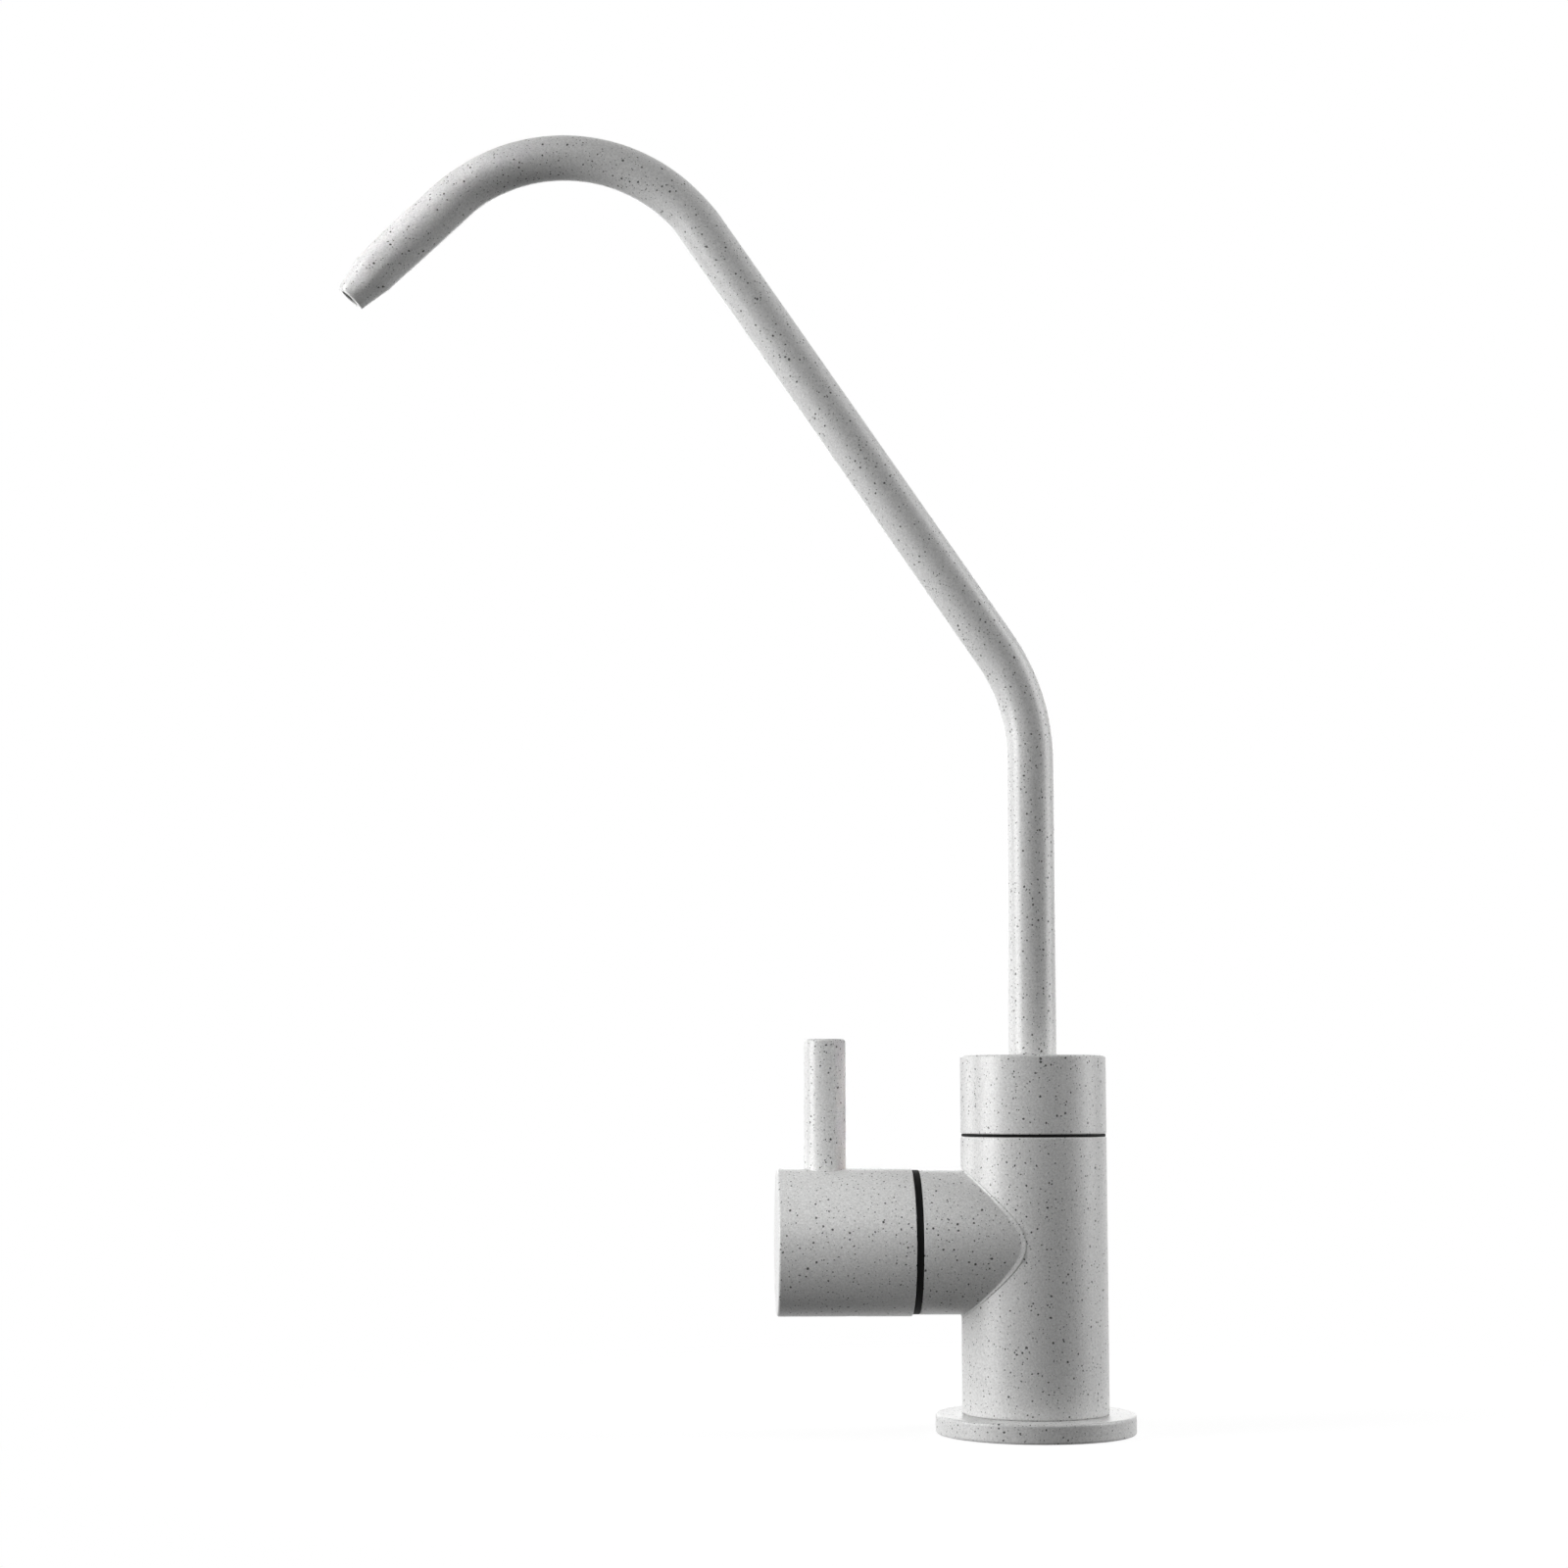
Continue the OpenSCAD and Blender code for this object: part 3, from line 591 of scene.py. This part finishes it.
# Handle hub
# Short lying cylinder, turned from brass and coated, that covers the cartridge and turns on its spline.
# The lever stands in a flat seat on top, and a grub screw below holds the hub on the spindle.
hub_r, hub_start, hub_end = 16.0, 27.0, 56.5
cavity_r, cavity_end, spline_hole_r, spline_end = 13.5, 35.5, 3.95, 44.6
lever_x, lever_r, lever_seat, lever_top = -45.9, 4.55, 56.26, 85.26
stud_r, stud_low = 3.0, 47.3
hub_screw_x, hub_screw_r, hub_screw_way = -40.0, 2.5, 24.0
hub_in_edge, hub_seam_edge, hub_end_edge = 0.2, 0.3, 0.5
seat_gap, stud_gap, screw_gap = 0.1, 0.05, 0.03
handle_hub = turned(
    "handle_hub_piece",
    [
        (0, spline_end, 0),
        (spline_hole_r, spline_end, fine_edge),
        (spline_hole_r, cavity_end, hub_in_edge),
        (cavity_r, cavity_end, hub_in_edge),
        (cavity_r, hub_start, hub_in_edge),
        (hub_r, hub_start, hub_seam_edge),
        (hub_r, hub_end, hub_end_edge),
        (0, hub_end, 0),
    ],
    speckled_coat,
    closed=False,
    place=on_valve,
)
drilled(
    handle_hub,
    (lever_r + seat_gap, (lever_x, 0, lever_seat), (0, 0, 1), hub_r),
    (stud_r + stud_gap, (lever_x, 0, stud_low - seat_gap), (0, 0, 1), hub_r),
    (hub_screw_r + screw_gap, (hub_screw_x, 0, valve_z - hub_screw_way), (0, 0, 1), hub_screw_way),
)
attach(handle_hub, "handle")
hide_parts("handle_hub")

# Handle lever
# Round brass rod that stands on the hub, coated as the rest and rounded at its top edge.
# Its foot sits flat in the seat of the hub, with a threaded stud below.
stud_edge, foot_edge, lever_edge = 0.3, 0.05, 0.6
upright_lever = np.array([[1, 0, 0, lever_x], [0, 1, 0, 0], [0, 0, 1, 0]], float)
handle_lever = turned(
    "handle_lever_piece",
    [
        (0, stud_low, 0),
        (stud_r, stud_low, stud_edge),
        (stud_r, lever_seat, foot_edge),
        (lever_r, lever_seat, foot_edge),
        (lever_r, lever_top, lever_edge),
        (0, lever_top, 0),
    ],
    speckled_coat,
    closed=False,
    place=upright_lever,
    steps=128,
)
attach(handle_lever, "handle")
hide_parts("handle_lever")

# Socket set screws
# Small steel screws with a hexagon socket: one below the hub, one behind the body with a dog point that
# runs in the groove of the spigot, and one behind the collar that clamps it to the spigot.


def set_screw(name, r, length, socket_corner, place, body, point=((0, 0), (0.02, 0))):
    """Headless screw along the local Z axis: point, thread, chamfered rim and a hexagon socket.

    Rows go from the point's pole out and up the thread, over the rim and down the socket to its pole.
    """
    steps, rows_a_turn, pitch, depth, chamfer = 72, 10, 0.35 * r, 0.16 * r, 0.1
    rim_r, floor = r - depth - chamfer, 0.45 * length
    first, last = 0.25, length - 0.2
    rise = np.arange(first, last, pitch / rows_a_turn)[:, None]
    ring = np.ones((1, steps))
    hollow = hexagon(socket_corner * np.sqrt(3), steps) * ring
    start = np.array(point + ((rim_r, 0),))
    radius = [start[:, :1] * ring, thread(rise, r, pitch, depth, steps), rim_r * ring]
    radius += [hollow + chamfer, hollow, hollow, 0 * ring]
    rim_h = np.array([[length], [length], [length - chamfer], [floor], [floor]])
    height = [start[:, 1:], rise, rim_h]
    radius, height = np.concatenate(radius), np.concatenate(height)
    screw = spun(name + "_piece", radius, height, zinc_steel, False, place)
    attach(screw, body)
    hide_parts(name)


def to_back(y, z):
    """Place on the back of the tap: the local Z axis points to +Y."""
    return np.array([[1, 0, 0, 0], [0, 0, 1, y], [0, -1, 0, z]], float)


hub_screw_z = valve_z - spline_hole_r
below_hub = np.array([[1, 0, 0, hub_screw_x], [0, -1, 0, 0], [0, 0, -1, hub_screw_z]], float)
retain_y, collar_screw_y, collar_screw_z = 9.1, 11.05, 69.6
behind_body = to_back(retain_y, retain_z)
behind_collar = to_back(collar_screw_y, collar_screw_z)
hub_screw_l, hub_socket_r = 8.0, 1.45
small_screw_r, small_socket_r, retain_l, collar_screw_l = 2.0, 1.15, 6.0, 4.2
dog_r, dog_l, dog_edge = 1.1, 1.5, 0.15
dog_point = ((0, -dog_l), (dog_r - dog_edge, -dog_l), (dog_r, dog_edge - dog_l), (dog_r, 0))
set_screw("hub_grub_screw", hub_screw_r, hub_screw_l, hub_socket_r, below_hub, "handle")
set_screw(
    "spout_retaining_screw", small_screw_r, retain_l, small_socket_r, behind_body, "base", dog_point
)
set_screw("collar_grub_screw", small_screw_r, collar_screw_l, small_socket_r, behind_collar, "spout")

# Spout glide washer
# Thin black polymer ring on top of the body, seen as the dark line of the seam.
# The collar of the spout turns on it.
glide_in, glide_out, glide_top, glide_edge = 9.3, 15.8, 64.5, 0.05
spout_glide_washer = turned(
    "spout_glide_washer_piece",
    [
        (glide_in, body_high, glide_edge),
        (glide_out, body_high, glide_edge),
        (glide_out, glide_top, glide_edge),
        (glide_in, glide_top, glide_edge),
    ],
    black_polymer,
)
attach(spout_glide_washer, "base")
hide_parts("spout_glide_washer")

# Spout spigot
# Brass foot of the spout: the tube is brazed into it, and it turns in the socket of the body.
# Two rubber rings seal it there, and a groove below them takes the retaining screw.
spigot_finish = {"spout_spigot": brass, "spout_o_rings": black_rubber}
for node, finish in spigot_finish.items():
    cad_nodes[node].data.materials.clear()
    cad_nodes[node].data.materials.append(finish)

# Spout collar
# Short cylinder of the body's diameter above the seam, turned from brass and coated.
# It slips over the tube, covers the shoulder of the spigot and turns with the spout.
collar_low, collar_top, tube_hole_r = 64.6, 81.7, 5.3
shoulder_hole_r, shoulder_top = 11.02, 74.6
collar_in_edge, collar_seam_edge, collar_top_edge, tube_hole_edge = 0.2, 0.3, 0.5, 0.15
spout_collar = turned(
    "spout_collar_piece",
    [
        (shoulder_hole_r, collar_low, collar_in_edge),
        (body_r, collar_low, collar_seam_edge),
        (body_r, collar_top, collar_top_edge),
        (tube_hole_r, collar_top, tube_hole_edge),
        (tube_hole_r, shoulder_top, fine_edge),
        (shoulder_hole_r, shoulder_top, collar_in_edge),
    ],
    speckled_coat,
)
collar_hole = (back_hole_r, (0, shoulder_hole_r - overrun, collar_screw_z), (0, 1, 0), body_r)
drilled(spout_collar, collar_hole)
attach(spout_collar, "spout")
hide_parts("spout_collar")

# Spout tube
# Drawn brass tube, bent on a mandrel into a leaning neck and an arch, swaged to a slim tip and coated.
# It rises from the spigot through the collar, and its end droops a little where the swage pulls it in.
tube_r, tube_bore_r, tip_r, tip_bore_r = 5.25, 4.25, 3.5, 2.25
tube_foot, lean_start = 58.3, 147.7
lean_r, lean_turn, slope_l = 43.1, np.radians(34.56), 116.5
arch_r, arch_turn, tail_l = 37.2, np.radians(99.5), 15.6
ease_l, ease_droop, ease_r, ease_bore_r = 8.6, np.radians(3.0), 4.95, 3.95
swage_l, swage_droop = 7.6, np.radians(2.2)
foot_chamfer, rim_edge, rim_face = 0.3, 0.06, 0.2
tube_steps, ring_step, bore_step, swage_rings, path_points = 96, 1.0, 2.0, 12, 12001
lean_flatten, arch_flatten, flatten_l = 0.015, 0.04, 6.0
bend_runs = [lean_start - tube_foot, lean_r * lean_turn, slope_l, arch_r * arch_turn]
tube_runs = bend_runs + [tail_l, ease_l, swage_l]
tube_turns = [0, lean_turn, 0, arch_turn, 0, ease_droop, swage_droop]
tube_knots, tube_headings = np.cumsum([0] + tube_runs), np.cumsum([0] + tube_turns)
tube_ease, tube_swage, tube_end = tube_knots[-3:]


def spout_path(s):
    """Points of the tube's centre line, in the plane y = 0, and its headings at lengths s along it.

    The heading is steady on the straights and changes evenly round each bend. Short steps along the
    heading at their middle, added up from the foot, give the points.
    """
    fine = np.linspace(0, tube_end, path_points)
    middle = np.interp((fine[1:] + fine[:-1]) / 2, tube_knots, tube_headings)
    step = np.diff(fine)
    x = np.concatenate([[0], np.cumsum(-np.sin(middle) * step)])
    z = np.concatenate([[0], np.cumsum(np.cos(middle) * step)]) + tube_foot
    return np.interp(s, fine, x), np.interp(s, fine, z), np.interp(s, tube_knots, tube_headings)


def tube_rings(s, r):
    """Rings of the tube: centre + r (cos a n + sin a b), with n to the inside of the bends, b to the front.

    In the bends the section is drawn in along n by a small share.
    """
    x, z, h = (row[:, None] for row in spout_path(s))
    a = np.arange(tube_steps) * 2 * np.pi / tube_steps
    drawn = 0
    for flatten, (first, last) in [(lean_flatten, tube_knots[1:3]), (arch_flatten, tube_knots[3:5])]:
        ramp_s = [first, first + flatten_l, last - flatten_l, last]
        drawn = drawn + np.interp(s, ramp_s, [0, flatten, flatten, 0])
    n_share = (r * (1 - drawn))[:, None] * np.cos(a)
    b_share = r[:, None] * np.sin(a)
    return np.stack([x - np.cos(h) * n_share, -b_share, z - np.sin(h) * n_share], 2)


swage_s = np.linspace(tube_swage, tube_end - rim_face, swage_rings)
outer_s = np.concatenate([[0], np.arange(foot_chamfer, tube_swage, ring_step), swage_s])
outer_at = [0, foot_chamfer, tube_ease, tube_swage, tube_end]
outer_r = np.interp(outer_s, outer_at, [tube_r - foot_chamfer, tube_r, tube_r, ease_r, tip_r])
rim_s = tube_end - np.array([rim_edge, 0, 0, rim_edge])
rim_r = np.array([tip_r - rim_edge, tip_r - rim_face, tip_bore_r + rim_face, tip_bore_r + rim_edge])
bore_s = np.arange(tube_swage - ring_step, foot_chamfer, -bore_step)
inner_s = np.concatenate([swage_s[::-1], bore_s, [0]])
inner_at = [0, tube_ease, tube_swage, tube_end]
inner_r = np.interp(inner_s, inner_at, [tube_bore_r, tube_bore_r, ease_bore_r, tip_bore_r])
tube_grid = tube_rings(
    np.concatenate([outer_s, rim_s, inner_s]), np.concatenate([outer_r, rim_r, inner_r])
)
tube_faces = grid_faces(len(tube_grid), tube_steps, True).tolist()
spout_tube = mesh_piece("spout_tube_piece", tube_grid.reshape(-1, 3), tube_faces, speckled_coat)
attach(spout_tube, "spout")
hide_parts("spout_tube")

# Studio floor
# Plain white floor just under the flange, at deck height, with a soft shadow at the tap's foot.
# It is white to the camera and to reflections, dark to other light, and pure white further out.
floor_z, floor_steps = -0.2, 96
floor_grey, floor_dark, floor_white, fade_start_m, fade_end_m = 0.2, 0.05, 0.9, 0.06, 0.22


def seen_rays(add, join):
    """One for the camera's rays and for those that a glossy or clear surface sends on, else nought."""
    rays = add("LightPath")
    seen = rays.outputs["Is Camera Ray"]
    for ray in ("Is Glossy Ray", "Is Transmission Ray"):
        either = add("Math", operation="MAXIMUM")
        join(seen, either.inputs[0])
        join(rays.outputs[ray], either.inputs[1])
        seen = either.outputs["Value"]
    return seen


def studio_floor():
    """Floor finish: a grey that takes the shadow under a white glow, mixed to plain white with distance."""
    material, shader, add, join = new_finish("studio_floor")
    reach = add("VectorMath", operation="LENGTH")
    join(add("TexCoord").outputs["Object"], reach.inputs[0])
    fade = add("MapRange", From_Min=fade_start_m, From_Max=fade_end_m, interpolation_type="SMOOTHSTEP")
    join(reach.outputs["Value"], fade.inputs["Value"])
    seen = seen_rays(add, join)
    level = add("Math", operation="MULTIPLY")
    level.inputs[1].default_value = floor_white
    join(seen, level.inputs[0])
    tone = add("MapRange", To_Min=floor_dark, To_Max=floor_grey)
    join(seen, tone.inputs["Value"])
    grey = add("BsdfDiffuse")
    join(tone.outputs["Result"], grey.inputs["Color"])
    glow = add("Emission")
    join(level.outputs["Value"], glow.inputs["Strength"])
    near = add("AddShader")
    join(grey.outputs["BSDF"], near.inputs[0])
    join(glow.outputs["Emission"], near.inputs[1])
    white = add("Emission", Strength=1.0)
    share = add("Math", operation="MULTIPLY")
    join(seen, share.inputs[0])
    join(fade.outputs["Result"], share.inputs[1])
    whole = add("MixShader")
    join(share.outputs["Value"], whole.inputs["Fac"])
    join(near.outputs["Shader"], whole.inputs[1])
    join(white.outputs["Emission"], whole.inputs[2])
    join(whole.outputs["Shader"], material.node_tree.nodes["Material Output"].inputs["Surface"])
    return material


floor_r = np.array([[60.0], [220.0], [1000.0], [4000.0]])
floor_turn = np.arange(floor_steps) * 2 * np.pi / floor_steps
floor_plan = [floor_r * np.cos(floor_turn), floor_r * np.sin(floor_turn), floor_z]
floor_points = np.stack(np.broadcast_arrays(*floor_plan), 2).reshape(-1, 3)
floor_faces = grid_faces(len(floor_r), floor_steps, False)[:, ::-1].tolist()
floor_faces.append(list(range(floor_steps)))
deck_floor = mesh_piece("deck_floor", floor_points, floor_faces, studio_floor())

# Studio light
# Soft lamps at the left, rear left, high left, right, front and rear, and two small ones with grids for
# the handle and the nozzle. The surroundings are white to the camera and to reflections, and dark to
# other light.
scene = bpy.context.scene


def soft_lamp(name, place, target, width, height, watts, spread=180):
    """Rectangular area lamp at a place, in metres, that faces a target with a spread in degrees."""
    lamp = bpy.data.lights.new(name, "AREA")
    lamp.shape, lamp.size, lamp.size_y, lamp.energy = "RECTANGLE", width, height, watts
    lamp.spread = np.radians(spread)
    stand = bpy.data.objects.new(name, lamp)
    stand.location = place
    facing = Vector(target) - Vector(place)
    stand.rotation_euler = facing.to_track_quat("-Z", "Y").to_euler()
    scene.collection.objects.link(stand)


tap_middle, handle_middle, nozzle_middle = (-0.06, 0, 0.12), (-0.056, 0, 0.052), (-0.135, 0, 0.243)
soft_lamp("left_lamp", (-1.035, -0.215, 0.172), tap_middle, width=0.60, height=0.40, watts=8.4)
soft_lamp("rear_left_lamp", (-0.888, 0.558, 0.172), tap_middle, width=0.60, height=0.40, watts=1.85)
soft_lamp("high_left_lamp", (-0.830, -0.280, 0.694), tap_middle, width=0.34, height=0.40, watts=2.4)
soft_lamp("right_lamp", (0.880, -0.050, 0.420), tap_middle, width=0.55, height=1.00, watts=7.4)
soft_lamp("front_lamp", (-0.202, -0.807, 0.694), tap_middle, width=0.50, height=0.30, watts=0.6)
soft_lamp("rear_lamp", (0.0, 1.0, 0.30), tap_middle, width=1.00, height=0.30, watts=2.0)
soft_lamp(
    "handle_lamp", (0.204, -0.45, 0.352), handle_middle, width=0.04, height=0.04, watts=0.004, spread=9
)
soft_lamp(
    "nozzle_lamp", (-0.30, -0.275, 0.62), nozzle_middle, width=0.05, height=0.05, watts=0.0043, spread=10
)
world = bpy.data.worlds.new("white_surroundings")
world.use_nodes = True
scene.world = world
world_dim, world_white = 0.0, 1.0


def add_to_world(kind, **values):
    """Node of the world with set values."""
    node = world.node_tree.nodes.new("ShaderNode" + kind)
    for key, value in values.items():
        setattr(node, key, value)
    return node


surroundings = world.node_tree.nodes["Background"].inputs
surroundings["Color"].default_value = (1, 1, 1, 1)
world_level = add_to_world("MapRange")
world_level.inputs["To Min"].default_value = world_dim
world_level.inputs["To Max"].default_value = world_white
world_seen = seen_rays(add_to_world, world.node_tree.links.new)
world.node_tree.links.new(world_seen, world_level.inputs["Value"])
world.node_tree.links.new(world_level.outputs["Result"], surroundings["Strength"])
scene.view_settings.view_transform = "Standard"

# Camera
# Level with the lower part of the tap and left of its body, turned slightly up and to the right.
view = bpy.data.cameras.new("photo_camera")
view.lens, view.sensor_width = 65.25, 36.0
camera = bpy.data.objects.new("photo_camera", view)
camera.location = (-0.07756, -0.62710, 0.07459)
tilt_up, turn_right = 6.1016, 2.0736
camera.rotation_euler = (np.radians(90 + tilt_up), 0, np.radians(-turn_right))
scene.collection.objects.link(camera)
scene.camera = camera
